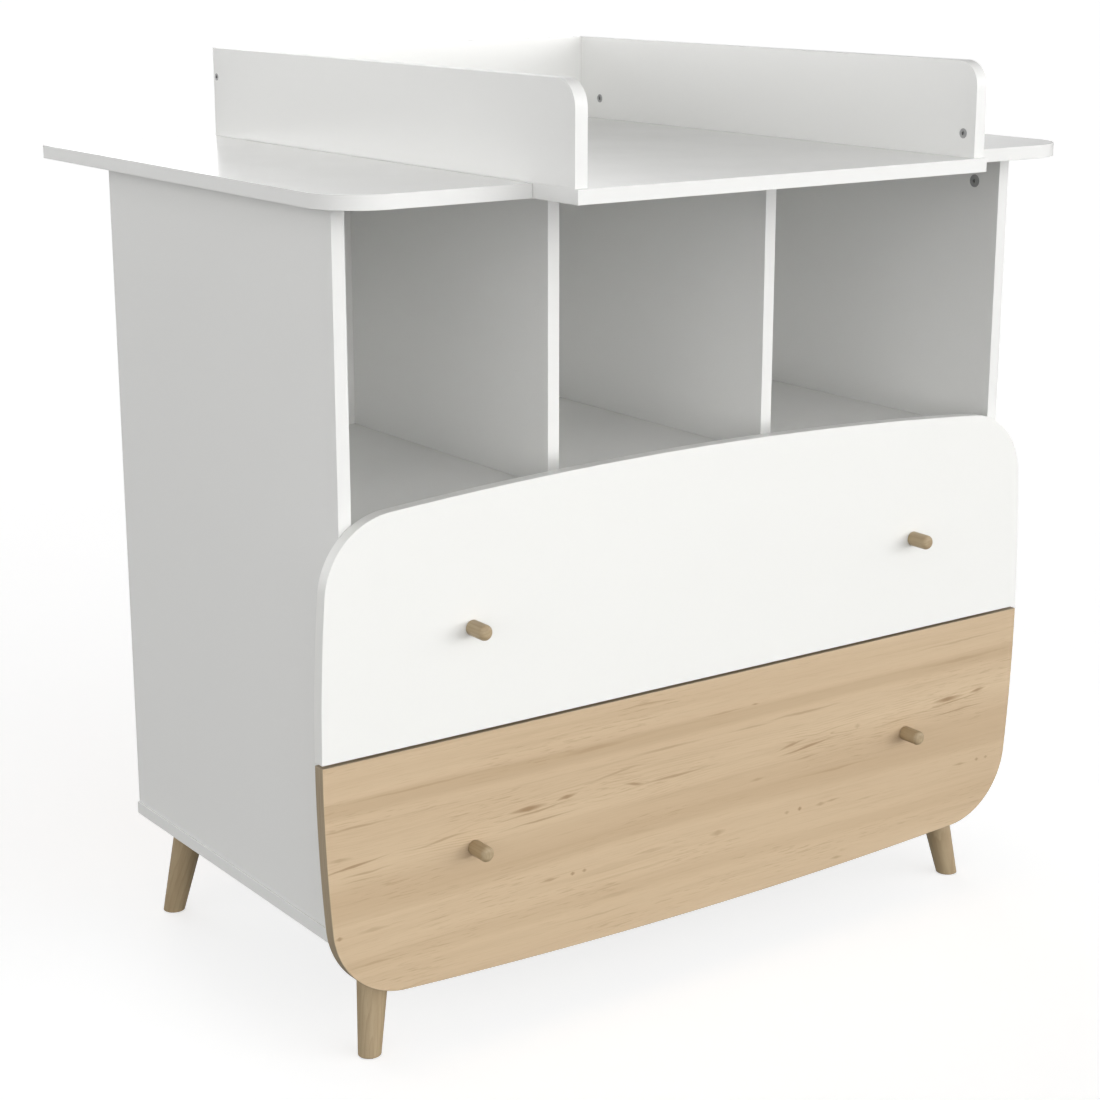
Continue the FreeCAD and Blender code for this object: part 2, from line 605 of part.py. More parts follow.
def build_drawer(drawer, box_level, knob_level):
    """One drawer: front, four-board box, slides, knobs and fittings."""
    stem = drawer + "_drawer_"
    top = box_level + " + box_rise"
    depth = (FRONT_REAR, BOX_END)
    inside = "(%s - box_board)" % BOX_HALF
    tray_low = box_level + " + bottom_lift"
    tray_high = tray_low + " + panel_thick"
    rear = BOX_END + " - box_board"
    board(stem + "back", ("-" + inside, inside), (rear, BOX_END), (tray_high, top))
    bottom_x = ("-%s - groove_deep" % inside, inside + " + groove_deep")
    bottom_y = (FRONT_REAR + " - groove_deep", BOX_END)
    board(stem + "bottom", bottom_x, bottom_y, (tray_low, tray_high))
    groove = box("groove", bottom_x, bottom_y, (tray_low, tray_high))
    drill(stem + "front", groove)
    for side, word in ((LEFT, "left"), (RIGHT, "right")):
        name = "%s%s_side" % (stem, word)
        board(name, mirrored(side, inside, BOX_HALF), depth, (box_level, top))
        drill(name, groove)
        for lift in ("box_cam_low", "box_cam_high"):
            level = "%s + %s" % (box_level, lift)
            cam_joint(stem + "cam_fittings", name, stem + "front",
                      (signed(side, inside), FRONT_REAR + " + box_reach", level),
                      X * side, -Y, "box_reach", deep="box_cam_deep", thick="box_board")
        for lift in ("box_screw_low", "box_screw_high"):
            screw(stem + "board_screws", (name, stem + "back"),
                  (signed(side, BOX_HALF), BOX_END + " - box_board / 2",
                   "%s + %s" % (box_level, lift)), -X * side)
        build_slide(drawer, side, word, box_level)

        knob_x = signed(side, "knob_offset")
        knob("%s%s_knob" % (stem, word), knob_x, knob_level)
        at = (knob_x, FRONT_REAR, knob_level)
        shank = rod("knob_screw_shank", "knob_shank", "board + knob_bite", at, -Y)
        head = rod("knob_screw_head", "knob_screw_head", "knob_screw_head_thick", at, Y)
        drill(stem + "front", rod("knob_hole", "knob_hole", "board", at, -Y))
        drive = socket(shift(at, Y, "knob_screw_head_thick"), -Y)
        add(stem + "knob_screws", cut("knob_screw", fuse("knob_screw_blank", [shank, head]),
                                      [drive]))


build_cabinet()
build_top()
build_legs()
drawer_front("upper_drawer_front", 1, "front_up", "crown_radius", "crown_corner")
drawer_front("lower_drawer_front", -1, "front_down", "keel_radius", "keel_corner")
build_drawer("upper", "upper_box", "upper_knob")
build_drawer("lower", "lower_box", "lower_knob")
join_cabinet()
join_top()

for name, blank in blanks.items():
    nodes[name] = cut(name, blank, bores[name]) if name in bores else blank
for name, pieces in groups.items():
    nodes[name] = doc.addObject("Part::Compound", name)
    nodes[name].Links = pieces
doc.recompute()

for thing in doc.Objects:
    if "Invalid" in thing.State or "Error" in thing.State:
        raise RuntimeError("%s did not build: %s" % (thing.Label, thing.State))
for name, thing in sorted(nodes.items()):
    thing.Label = name
    if thing.Label != name or thing.Shape.isNull() or not thing.Shape.isValid():
        raise RuntimeError(name + " has no valid shape")
for name, thing in sorted(nodes.items()):
    thing.Shape.exportStep("parts/%s.step" % name)
print(len(nodes), "sub-parts,", sum(len(thing.Shape.Solids) for thing in nodes.values()), "solids")
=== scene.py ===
import json
import math

import bmesh
import bpy
from mathutils import Matrix, Vector

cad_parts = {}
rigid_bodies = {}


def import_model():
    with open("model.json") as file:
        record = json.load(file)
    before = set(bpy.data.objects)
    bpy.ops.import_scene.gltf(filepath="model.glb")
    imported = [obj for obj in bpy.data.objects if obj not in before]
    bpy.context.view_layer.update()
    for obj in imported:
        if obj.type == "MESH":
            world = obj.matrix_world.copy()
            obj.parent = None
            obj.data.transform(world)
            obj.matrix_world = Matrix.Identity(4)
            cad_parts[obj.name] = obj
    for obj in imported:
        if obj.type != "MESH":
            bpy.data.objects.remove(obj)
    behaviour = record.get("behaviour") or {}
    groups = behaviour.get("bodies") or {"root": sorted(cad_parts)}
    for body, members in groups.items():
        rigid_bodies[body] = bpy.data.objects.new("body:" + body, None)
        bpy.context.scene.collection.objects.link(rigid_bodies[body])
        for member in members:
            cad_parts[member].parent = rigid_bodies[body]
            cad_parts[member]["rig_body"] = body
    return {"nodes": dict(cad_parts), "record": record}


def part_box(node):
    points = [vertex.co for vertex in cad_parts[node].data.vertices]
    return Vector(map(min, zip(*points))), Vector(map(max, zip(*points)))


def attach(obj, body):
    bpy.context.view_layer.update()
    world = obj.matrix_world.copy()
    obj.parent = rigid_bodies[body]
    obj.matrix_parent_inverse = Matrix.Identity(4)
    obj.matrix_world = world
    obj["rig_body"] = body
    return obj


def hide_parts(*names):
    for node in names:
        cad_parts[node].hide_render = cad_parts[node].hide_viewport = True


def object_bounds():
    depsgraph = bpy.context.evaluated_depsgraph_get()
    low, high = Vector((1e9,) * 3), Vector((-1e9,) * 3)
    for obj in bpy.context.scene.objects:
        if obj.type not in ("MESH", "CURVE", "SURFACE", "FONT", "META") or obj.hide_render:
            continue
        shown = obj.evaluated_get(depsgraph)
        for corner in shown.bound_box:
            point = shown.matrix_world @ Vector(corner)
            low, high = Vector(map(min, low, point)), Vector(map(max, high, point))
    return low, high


# Changing table in white-faced board with a wood-decor lower drawer front, on turned wooden legs.
# Metres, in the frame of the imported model: X right, Y back, Z up, floor at zero.

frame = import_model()
CAD_LOW, CAD_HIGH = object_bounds()

MM = 0.001
SLOT_OF = {part["node"]: part["material_slot"] for part in frame["record"]["subparts"]}

# ---- outline of the drawer fronts, as one rounded shape cut in two --------------------------
FRONT_LEVEL = 344.4 * MM      # height where the outline is widest
FRONT_UP = 273.5 * MM
FRONT_DOWN = 274.1 * MM
CROWN_RADIUS = 5290 * MM
KEEL_RADIUS = 7650 * MM
FLANK_RADIUS = 2110 * MM
CROWN_CORNER = 84 * MM
KEEL_CORNER = 92 * MM

# ---- other rounded boards and turned pieces -------------------------------------------------
WING_ROUND = 60 * MM
GUARD_ROUND = 28 * MM
CAM_RADIUS = 5.3 * MM
CAM_DEEP = 12 * MM
SCREW_HEAD = 4.2 * MM
SCREW_HEAD_DEEP = 2.5 * MM
GUARD_REACH = 25.5 * MM         # height of the guards' cam locks above the changing surface
GUARD_REAR_CAM = 56.5 * MM
GUARD_FRONT_CAM = 18 * MM
GUARD_SCREW = 69 * MM
KNOB_EDGE = 5 * MM
KNOB_BACK_EDGE = 1 * MM
LEG_TOP = 19.7 * MM
LEG_FOOT = 12.6 * MM
LEG_SPLAY = 0.166
LEG_SIDE_INSET = 53 * MM
LEG_FRONT_INSET = 37 * MM
LEG_EDGE = 0.8 * MM
EDGE = 0.45 * MM              # how far board edges are eased
FRONT_EDGE = 0.6 * MM


# ---- shader helpers -------------------------------------------------------------------------

def new_material(name):
    material = bpy.data.materials.new(name)
    material.use_nodes = True
    tree = material.node_tree
    return material, tree, tree.nodes["Principled BSDF"]


def put(tree, socket, value):
    """Set a socket to a number or colour, or link it to another node's output."""
    if isinstance(value, bpy.types.NodeSocket):
        tree.links.new(value, socket)
    else:
        socket.default_value = value


def add(tree, kind, settings=(), **inputs):
    """A node; each keyword is an input's name with _ for a space."""
    node = tree.nodes.new("ShaderNode" + kind)
    for name, value in dict(settings).items():
        setattr(node, name, value)
    for name, value in inputs.items():
        put(tree, node.inputs[name.replace("_", " ")], value)
    return node


def maths(tree, operation, *values):
    node = tree.nodes.new("ShaderNodeMath")
    node.operation = operation
    for socket, value in zip(node.inputs, values):
        put(tree, socket, value)
    return node.outputs[0]


def object_space(tree):
    return add(tree, "TexCoord").outputs["Object"]


def stretched(tree, vector, scale, shift=(0, 0, 0)):
    return add(tree, "Mapping", Vector=vector, Scale=scale, Location=shift).outputs[0]


def noise(tree, vector, scale=1.0, detail=3.0, rough=0.5, warp=0.0):
    return add(tree, "TexNoise", Vector=vector, Scale=scale, Detail=detail,
               Roughness=rough, Distortion=warp).outputs["Fac"]


def ramp(tree, factor, *stops):
    """A value or colour from a factor; each stop is a place and a grey level or a colour."""
    node = tree.nodes.new("ShaderNodeValToRGB")
    put(tree, node.inputs[0], factor)
    elements = node.color_ramp.elements
    while len(elements) < len(stops):
        elements.new(0.5)
    for element, (place, level) in zip(elements, stops):
        element.position = place
        colour = (level,) * 3 if isinstance(level, (int, float)) else level
        element.color = (*colour, 1)
    return node.outputs[0]


def mix(tree, factor, first, second, blend="MIX"):
    node = tree.nodes.new("ShaderNodeMix")
    node.data_type = "RGBA"
    node.blend_type = blend
    put(tree, node.inputs["Factor"], factor)
    put(tree, node.inputs[6], (*first, 1) if isinstance(first, tuple) else first)
    put(tree, node.inputs[7], (*second, 1) if isinstance(second, tuple) else second)
    return node.outputs[2]


def bump(tree, shader, height, strength, distance):
    node = add(tree, "Bump", Strength=strength, Distance=distance, Height=height)
    tree.links.new(node.outputs[0], shader.inputs["Normal"])


def paint(red, green, blue):
    """The linear colour for a colour given in 0 to 255 as a screen shows it."""
    levels = [value / 255 for value in (red, green, blue)]
    return tuple(v / 12.92 if v < 0.04045 else ((v + 0.055) / 1.055) ** 2.4 for v in levels)


# ---- materials ------------------------------------------------------------------------------

WHITE = paint(240, 240, 238)
WHITE_SHADE = paint(238, 238, 236)


def board_material(name, light, dark, rough):
    """Melamine facing: nearly even, with a fine pearl texture and a slightly uneven sheen."""
    material, tree, shader = new_material(name)
    where = object_space(tree)
    cloud = noise(tree, where, 4, 2)
    put(tree, shader.inputs["Base Color"], mix(tree, cloud, dark, light))
    smear = noise(tree, stretched(tree, where, (3, 3, 9)), 2, 3)
    put(tree, shader.inputs["Roughness"], ramp(tree, smear, (0.3, rough - 0.02), (0.7, rough + 0.02)))
    pearl = noise(tree, where, 1500, 2)
    bump(tree, shader, pearl, 0.12, 0.05 * MM)
    return material


OAK_LIGHT = paint(211, 188, 156)
OAK_DARK = paint(197, 172, 140)
OAK_VEIN = paint(182, 156, 123)
OAK_RING = paint(160, 132, 98)
OAK_KNOT = paint(156, 127, 93)

# Broad darker bands: level, half height (mm) and how dark.
BROAD_BANDS = ((298, 11, 0.5), (212, 14, 0.2), (190, 17, 0.36), (122, 10, 0.22), (102, 6, 0.12))

# Dark pointed marks: middle, level, half length, half height (mm), climb and how dark.
EYE = ((0, 0, 29, 3.6, 0.03, 0.95), (51, 2, 17, 2.6, 0.11, 0.85), (10, -5, 60, 1.4, 0.06, 0.6),
       (16, -17, 62, 1.4, 0.03, 0.6))
EYE_PLACES = ((-243, 249), (384, 250))
STREAKS = ((-462, 235, 52, 1.8, 0.09, 0.8), (-478, 245, 18, 2.6, 0.0, 0.4),
           (-446, 225, 38, 1.6, 0.0, 0.5), (-452, 218, 32, 1.3, 0.0, 0.4),
           (-458, 277, 48, 1.8, 0.0, 0.5), (-350, 239, 52, 1.6, 0.06, 0.5),
           (-99, 246, 18, 1.9, -0.2, 0.7), (-45, 243, 55, 2.2, 0.0, 0.6),
           (-124, 264, 50, 1.8, 0.07, 0.45), (-55, 278, 62, 2.2, 0.0, 0.4),
           (-84, 336, 48, 1.4, 0.0, 0.5), (-158, 299, 60, 3.2, 0.0, 0.35),
           (-380, 304, 110, 1.6, 0.0, 0.3), (-440, 122, 44, 1.8, 0.0, 0.35),
           (-125, 120, 50, 3.4, 0.0, 0.25), (-150, 102, 70, 1.4, 0.0, 0.3),
           (157, 236, 52, 1.9, 0.085, 0.85), (132, 243, 27, 1.8, 0.15, 0.7),
           (155, 223, 24, 1.8, 0.05, 0.4), (235, 246, 6, 4.0, 0.0, 0.35),
           (300, 239, 40, 1.4, 0.05, 0.4), (150, 280, 68, 2.0, 0.0, 0.5),
           (70, 278, 40, 1.6, 0.0, 0.4), (28, 304, 44, 1.4, 0.0, 0.4),
           (80, 212, 14, 2.2, 0.0, 0.4), (200, 199, 66, 1.8, 0.0, 0.35),
           (208, 84, 12, 2.2, 0.0, 0.5), (400, 322, 90, 1.5, 0.0, 0.35),
           (405, 298, 90, 2.8, 0.0, 0.3))
KNOTS = ((-184, 159, 4, 2.8, 0.0, 0.8), (-168, 159, 4, 2.8, 0.0, 0.7), (-215, 159, 16, 2.0, 0.0, 0.6),
         (-480, 159, 5, 3.2, 0.0, 0.7), (-440, 159, 24, 3.0, 0.0, 0.35), (-75, 160, 30, 2.6, 0.0, 0.3),
         (22, 159, 14, 4.0, 0.0, 0.5), (127, 160, 5, 2.6, 0.0, 0.5), (147, 160, 4, 3.2, 0.0, 0.9),
         (180, 159, 10, 2.4, 0.0, 0.5), (198, 160, 16, 1.8, 0.0, 0.5), (410, 160, 14, 1.8, 0.0, 0.5),
         (440, 160, 4, 2.6, 0.0, 0.7), (456, 160, 4, 2.6, 0.0, 0.6), (74, 305, 7, 1.8, 0.0, 0.6))
MARKS = STREAKS + KNOTS + tuple((x + dx, z + dz, *rest)
                                for x, z in EYE_PLACES for dx, dz, *rest in EYE)
FLAME_LEVEL = 246 * MM
FLAME_HALF = 34 * MM
FLAME_REPEAT = 310 * MM


def oak_material():
    """Pale oak decor printed on the lower front: level bands, fine fibres, one band of flame
    figure, and dark pointed streaks and knots."""
    material, tree, shader = new_material("oak_front")
    where = object_space(tree)
    sway = noise(tree, stretched(tree, where, (1.6, 1, 8)), 1, 2)
    sway = maths(tree, "MULTIPLY", maths(tree, "SUBTRACT", sway, 0.5), 22 * MM)
    split = add(tree, "SeparateXYZ", Vector=where)
    along = split.outputs["X"]
    across = maths(tree, "ADD", split.outputs["Z"], sway)
    flow = add(tree, "CombineXYZ", X=along, Y=split.outputs["Y"], Z=across).outputs[0]

    bands = noise(tree, stretched(tree, flow, (1.1, 1, 34)), 1, 3, 0.55)
    colour = mix(tree, ramp(tree, bands, (0.26, 0.0), (0.74, 1.0)), OAK_DARK, OAK_LIGHT)
    for level, half, depth in BROAD_BANDS:
        shade = broad_band(tree, across, level * MM, half * MM)
        colour = mix(tree, maths(tree, "MULTIPLY", shade, depth), colour, OAK_VEIN)
    veins = noise(tree, stretched(tree, flow, (2.6, 1, 120)), 1, 4, 0.62)
    colour = mix(tree, ramp(tree, veins, (0.54, 0.0), (0.74, 0.4)), colour, OAK_VEIN)
    streaks = noise(tree, stretched(tree, flow, (4.5, 1, 260)), 1, 3, 0.6)
    colour = mix(tree, ramp(tree, streaks, (0.62, 0.0), (0.8, 0.34)), colour, OAK_RING)
    fibres = noise(tree, stretched(tree, flow, (34, 1, 1100)), 1, 2)
    colour = mix(tree, ramp(tree, fibres, (0.52, 0.0), (0.74, 0.3)), colour, OAK_VEIN)
    pores = ramp(tree, noise(tree, stretched(tree, flow, (40, 1, 560)), 1, 2), (0.56, 0.0),
                 (0.68, 0.36))
    patch = ramp(tree, noise(tree, stretched(tree, where, (5, 1, 24)), 1, 2), (0.52, 0.0),
                 (0.6, 1.0))
    colour = mix(tree, maths(tree, "MULTIPLY", pores, patch), colour, OAK_RING)

    rings, strength = flame(tree, along, across, where)
    colour = mix(tree, maths(tree, "MULTIPLY", rings, strength), colour, OAK_RING)
    ragged = noise(tree, stretched(tree, where, (22, 1, 60)), 1, 3)
    ragged = maths(tree, "MULTIPLY", maths(tree, "SUBTRACT", ragged, 0.5), 5 * MM)
    level = maths(tree, "ADD", split.outputs["Z"], ragged)
    colour = mix(tree, pointed_marks(tree, along, level, MARKS), colour, OAK_KNOT)
    put(tree, shader.inputs["Base Color"], colour)
    put(tree, shader.inputs["Roughness"], ramp(tree, veins, (0.3, 0.42), (0.75, 0.52)))
    bump(tree, shader, maths(tree, "ADD", veins, maths(tree, "MULTIPLY", fibres, 0.5)),
         0.25, 0.06 * MM)
    return material


def flame(tree, along, across, where):
    """Arched growth rings: thin dark lines, and a mask of where they show."""
    off = maths(tree, "SUBTRACT", across, FLAME_LEVEL)
    wander = noise(tree, stretched(tree, where, (7, 1, 30)), 1, 3)
    swing = maths(tree, "PINGPONG", maths(tree, "ADD", along, 2.0), FLAME_REPEAT)
    arch = maths(tree, "SQRT", maths(tree, "ADD", maths(tree, "MULTIPLY", off, off), 9e-6))
    count = maths(tree, "ADD", maths(tree, "MULTIPLY", arch, 330.0),
                  maths(tree, "MULTIPLY", swing, 17.0))
    count = maths(tree, "ADD", count, maths(tree, "MULTIPLY", wander, 3.2))
    saw = maths(tree, "FRACT", count)
    line = ramp(tree, saw, (0.0, 0.0), (0.62, 0.05), (0.93, 1.0), (1.0, 0.0))
    breaks = noise(tree, stretched(tree, where, (26, 1, 150)), 1, 3)
    line = maths(tree, "MULTIPLY", line, ramp(tree, breaks, (0.38, 0.1), (0.6, 1.0)))
    near = maths(tree, "DIVIDE", maths(tree, "ABSOLUTE", off), FLAME_HALF)
    fade = ramp(tree, near, (0.25, 1.0), (1.0, 0.0))
    patches = ramp(tree, noise(tree, stretched(tree, where, (6, 1, 22)), 1, 2), (0.42, 0.05),
                   (0.64, 0.6))
    return line, maths(tree, "MULTIPLY", fade, patches)


def broad_band(tree, across, level, half):
    """A soft level band: 1 in its middle and 0 past its half height."""
    off = maths(tree, "DIVIDE", maths(tree, "SUBTRACT", across, level), half)
    return ramp(tree, maths(tree, "ABSOLUTE", off), (0.45, 1.0), (1.0, 0.0))


def pointed_marks(tree, along, level, marks):
    """How dark each point is under a set of long pointed marks."""
    total = 0.0
    for centre, middle, long, tall, climb, depth in marks:
        off = maths(tree, "SUBTRACT", along, centre * MM)
        axis = maths(tree, "MULTIPLY_ADD", off, climb, middle * MM)
        rise = maths(tree, "DIVIDE", maths(tree, "SUBTRACT", level, axis), tall * MM)
        run = maths(tree, "ABSOLUTE", maths(tree, "DIVIDE", off, long * MM))
        size = maths(tree, "MULTIPLY_ADD", rise, rise, run)
        dark = maths(tree, "MULTIPLY", maths(tree, "SUBTRACT", 1.0, size), 1.3 * depth)
        total = maths(tree, "MAXIMUM", total, maths(tree, "MINIMUM", dark, depth))
    return total


def edge_band_material():
    """Printed edge band of the lower front: darker and greyer than its face."""
    material, tree, shader = new_material("oak_edge")
    where = object_space(tree)
    lines = noise(tree, stretched(tree, where, (9, 700, 9)), 1, 4, 0.6)
    colour = mix(tree, ramp(tree, lines, (0.35, 0.0), (0.7, 1.0)), paint(172, 156, 131),
                 paint(152, 135, 110))
    put(tree, shader.inputs["Base Color"], colour)
    put(tree, shader.inputs["Roughness"], ramp(tree, lines, (0.3, 0.46), (0.7, 0.54)))
    bump(tree, shader, lines, 0.15, 0.05 * MM)
    return material


def turned_material(name, light, dark, ring, own_grain=True):
    """Solid wood with its grain along Z, of the piece's own grain space or of the object."""
    material, tree, shader = new_material(name)
    if own_grain:
        where = add(tree, "Attribute", {"attribute_name": "grain"}).outputs["Vector"]
    else:
        where = object_space(tree)
    streaks = noise(tree, stretched(tree, where, (110, 110, 5)), 1, 4, 0.55)
    colour = mix(tree, ramp(tree, streaks, (0.32, 0.0), (0.72, 1.0)), light, dark)
    split = add(tree, "SeparateXYZ", Vector=stretched(tree, where, (1, 1, 1), (9 * MM, 5 * MM, 0)))
    wander = noise(tree, stretched(tree, where, (60, 60, 9)), 1, 3)
    span = maths(tree, "ADD", maths(tree, "MULTIPLY", split.outputs["X"], split.outputs["X"]),
                 maths(tree, "MULTIPLY", split.outputs["Y"], split.outputs["Y"]))
    count = maths(tree, "ADD", maths(tree, "MULTIPLY", maths(tree, "SQRT", span), 270.0),
                  maths(tree, "MULTIPLY", wander, 2.2))
    line = ramp(tree, maths(tree, "FRACT", count), (0.0, 0.0), (0.6, 0.06), (0.94, 0.42), (1.0, 0.0))
    colour = mix(tree, line, colour, ring)
    pores = noise(tree, stretched(tree, where, (1300, 1300, 40)), 1, 2)
    colour = mix(tree, ramp(tree, pores, (0.58, 0.0), (0.75, 0.4)), colour, ring)
    put(tree, shader.inputs["Base Color"], colour)
    put(tree, shader.inputs["Roughness"], ramp(tree, streaks, (0.3, 0.44), (0.7, 0.56)))
    bump(tree, shader, pores, 0.3, 0.08 * MM)
    return material


def hardboard_material():
    """Thin fibreboard: white facing on the inside, bare brown fibres on the back."""
    material, tree, shader = new_material("hardboard")
    where = object_space(tree)
    normal = add(tree, "SeparateXYZ", Vector=add(tree, "NewGeometry").outputs["Normal"])
    back = ramp(tree, normal.outputs["Y"], (0.4, 0.0), (0.6, 1.0))
    felt = noise(tree, where, 420, 5, 0.65)
    brown = mix(tree, felt, paint(150, 118, 84), paint(190, 156, 118))
    put(tree, shader.inputs["Base Color"], mix(tree, back, WHITE_SHADE, brown))
    put(tree, shader.inputs["Roughness"], ramp(tree, felt, (0.3, 0.5), (0.7, 0.68)))
    bump(tree, shader, felt, 0.2, 0.1 * MM)
    return material


def metal_material(name, colour, dark, rough):
    """Zinc plating: cloudy, with faint drawn lines along the part."""
    material, tree, shader = new_material(name)
    where = object_space(tree)
    spangle = noise(tree, where, 160, 4, 0.6)
    put(tree, shader.inputs["Base Color"], mix(tree, spangle, dark, colour))
    shader.inputs["Metallic"].default_value = 1.0
    lines = noise(tree, stretched(tree, where, (900, 12, 900)), 1, 2)
    put(tree, shader.inputs["Roughness"], ramp(tree, lines, (0.3, rough - 0.06), (0.7, rough + 0.1)))
    bump(tree, shader, lines, 0.08, 0.03 * MM)
    return material


def plastic_material():
    """Moulded grey plastic with a fine spark-eroded grain."""
    material, tree, shader = new_material("grey_glide")
    where = object_space(tree)
    grain = noise(tree, where, 2200, 3, 0.6)
    put(tree, shader.inputs["Base Color"],
        mix(tree, grain, paint(86, 86, 86), paint(108, 108, 107)))
    put(tree, shader.inputs["Roughness"], ramp(tree, grain, (0.3, 0.5), (0.7, 0.65)))
    bump(tree, shader, grain, 0.2, 0.05 * MM)
    return material


def floor_material():
    """Pale studio floor: seen almost evenly white with faint soft shadows, and lighting the
    object only as a pale matt floor does."""
    material, tree, shader = new_material("studio_floor")
    soft = noise(tree, object_space(tree), 3, 2)
    put(tree, shader.inputs["Base Color"], mix(tree, soft, (0.30, 0.30, 0.30), (0.32, 0.32, 0.32)))
    shader.inputs["Roughness"].default_value = 0.9
    shader.inputs["Specular IOR Level"].default_value = 0.1
    glow = add(tree, "Emission", Strength=0.65)
    shadow = add(tree, "BsdfDiffuse", Color=mix(tree, soft, (0.58, 0.58, 0.58), (0.60, 0.60, 0.60)))
    seen = add(tree, "AddShader")
    tree.links.new(glow.outputs[0], seen.inputs[0])
    tree.links.new(shadow.outputs[0], seen.inputs[1])
    choice = add(tree, "MixShader")
    tree.links.new(add(tree, "LightPath").outputs["Is Camera Ray"], choice.inputs[0])
    tree.links.new(shader.outputs[0], choice.inputs[1])
    tree.links.new(seen.outputs[0], choice.inputs[2])
    tree.links.new(choice.outputs[0], tree.nodes["Material Output"].inputs["Surface"])
    return material


MATERIALS = {
    "white_board": board_material("white_board", WHITE, WHITE_SHADE, 0.24),
    "white_front": board_material("white_front", paint(243, 243, 240), paint(241, 241, 238), 0.34),
    "oak_front": oak_material(),
    "turned_wood": turned_material("turned_wood", paint(180, 161, 129), paint(163, 142, 110),
                                   paint(150, 128, 96)),
    "hardboard": hardboard_material(),
    "zinc_sheet": metal_material("zinc_sheet", paint(205, 207, 208), paint(176, 178, 180), 0.37),
    "zinc_fitting": metal_material("zinc_fitting", paint(182, 182, 182), paint(158, 158, 159), 0.46),
    "beech_dowel": turned_material("beech_dowel", paint(226, 198, 160), paint(210, 178, 138),
                                   paint(190, 156, 116), own_grain=False),
    "grey_glide": plastic_material(),
}
EDGE_BAND = {
    "oak_front": edge_band_material(),
    "white_board": board_material("white_edge", paint(238, 238, 236), paint(235, 235, 233), 0.34),
    "white_front": board_material("white_front_edge", paint(240, 240, 237), paint(237, 237, 234), 0.34),
}


# ---- mesh helpers ---------------------------------------------------------------------------

def link_object(name, mesh):
    thing = bpy.data.objects.new(name, mesh)
    bpy.context.scene.collection.objects.link(thing)
    return thing


def ease_edges(thing, width, dissolve=False):
    """Round the sharp edges by a small amount, and keep the flat faces flat in shading."""
    if dissolve:
        weld = thing.modifiers.new("weld", "WELD")
        weld.merge_threshold = 0.002 * MM
        flat = thing.modifiers.new("flat", "DECIMATE")
        flat.decimate_type = "DISSOLVE"
        flat.angle_limit = math.radians(0.5)
    rounding = thing.modifiers.new("rounding", "BEVEL")
    rounding.width = width
    rounding.segments = 3
    rounding.limit_method = "ANGLE"
    rounding.angle_limit = math.radians(40)
    rounding.use_clamp_overlap = False
    rounding.loop_slide = False
    rounding.miter_outer = "MITER_ARC"
    rounding.harden_normals = True
    if len(thing.data.materials) > 1:
        rounding.material = 1


def give_material(thing, slot):
    if thing.data.materials:
        thing.data.materials.clear()
    thing.data.materials.append(MATERIALS[slot])
    if slot in EDGE_BAND:
        thing.data.materials.append(EDGE_BAND[slot])


def arc(centre, radius, first, last, steps):
    """Points of an arc in a plane, both ends included; angles in radians."""
    points = []
    for step in range(steps + 1):
        angle = first + (last - first) * step / steps
        points.append((centre[0] + radius * math.cos(angle), centre[1] + radius * math.sin(angle)))
    return points


def slab(name, outline, low, high, place):
    """A board from its outline; place turns (u, v, depth) into a point. Its narrow faces take
    the second material, the edge band."""
    bm = bmesh.new()
    rims = [[bm.verts.new(place(u, v, depth)) for u, v in outline] for depth in (low, high)]
    bm.faces.new(rims[0])
    bm.faces.new(list(reversed(rims[1])))
    for index in range(len(outline)):
        after = (index + 1) % len(outline)
        side = bm.faces.new((rims[0][index], rims[1][index], rims[1][after], rims[0][after]))
        side.material_index = 1
    bmesh.ops.recalc_face_normals(bm, faces=bm.faces)
    for face in bm.faces:
        face.smooth = True
    mesh = bpy.data.meshes.new(name)
    bm.to_mesh(mesh)
    bm.free()
    return link_object(name, mesh)


def cylinder(radius, deep, at, axis):
    """A plain round cutter that starts at a point and runs along an axis."""
    bm = bmesh.new()
    bmesh.ops.create_cone(bm, cap_ends=True, segments=48, radius1=radius, radius2=radius, depth=deep)
    turn = Vector((0, 0, 1)).rotation_difference(Vector(axis)).to_matrix().to_4x4()
    middle = Vector(at) + Vector(axis) * deep / 2
    bm.transform(Matrix.Translation(middle) @ turn)
    mesh = bpy.data.meshes.new("cutter")
    bm.to_mesh(mesh)
    bm.free()
    return link_object("cutter", mesh)


def cut_out(thing, cutters):
    """Cut the cutters out of a piece, and remove them."""
    for cutter in cutters:
        hole = thing.modifiers.new("hole", "BOOLEAN")
        hole.operation = "DIFFERENCE"
        hole.solver = "EXACT"
        hole.object = cutter
    bpy.context.view_layer.update()
    shaped = bpy.data.meshes.new_from_object(
        thing.evaluated_get(bpy.context.evaluated_depsgraph_get()))
    thing.modifiers.clear()
    thing.data = shaped
    for cutter in cutters:
        bpy.data.objects.remove(cutter)


def stand_in(thing, node, width=EDGE):
    """Let a finished piece stand for a CAD node, with its material and eased edges."""
    give_material(thing, SLOT_OF[node])
    if width:
        ease_edges(thing, width)
    body = frame["nodes"][node]["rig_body"]
    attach(thing, body)
    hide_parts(node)


# ---- drawer fronts --------------------------------------------------------------------------

def meet(first, radius_a, second, radius_b, side):
    """Where two circles cross, on the side with positive x and the given sign of the height."""
    first, second = Vector(first), Vector(second)
    apart = second - first
    along = (radius_a ** 2 - radius_b ** 2 + apart.length ** 2) / (2 * apart.length)
    across = math.sqrt(radius_a ** 2 - along ** 2)
    unit = apart.normalized()
    normal = Vector((-unit.y, unit.x))
    for way in (-1, 1):
        point = first + unit * along + normal * across * way
        if point.x > 0 and point.y * side > 0:
            return point
    raise ValueError("the circles don't cross there")


def bearing(centre, point):
    return math.atan2(point[1] - centre[1], point[0] - centre[0])


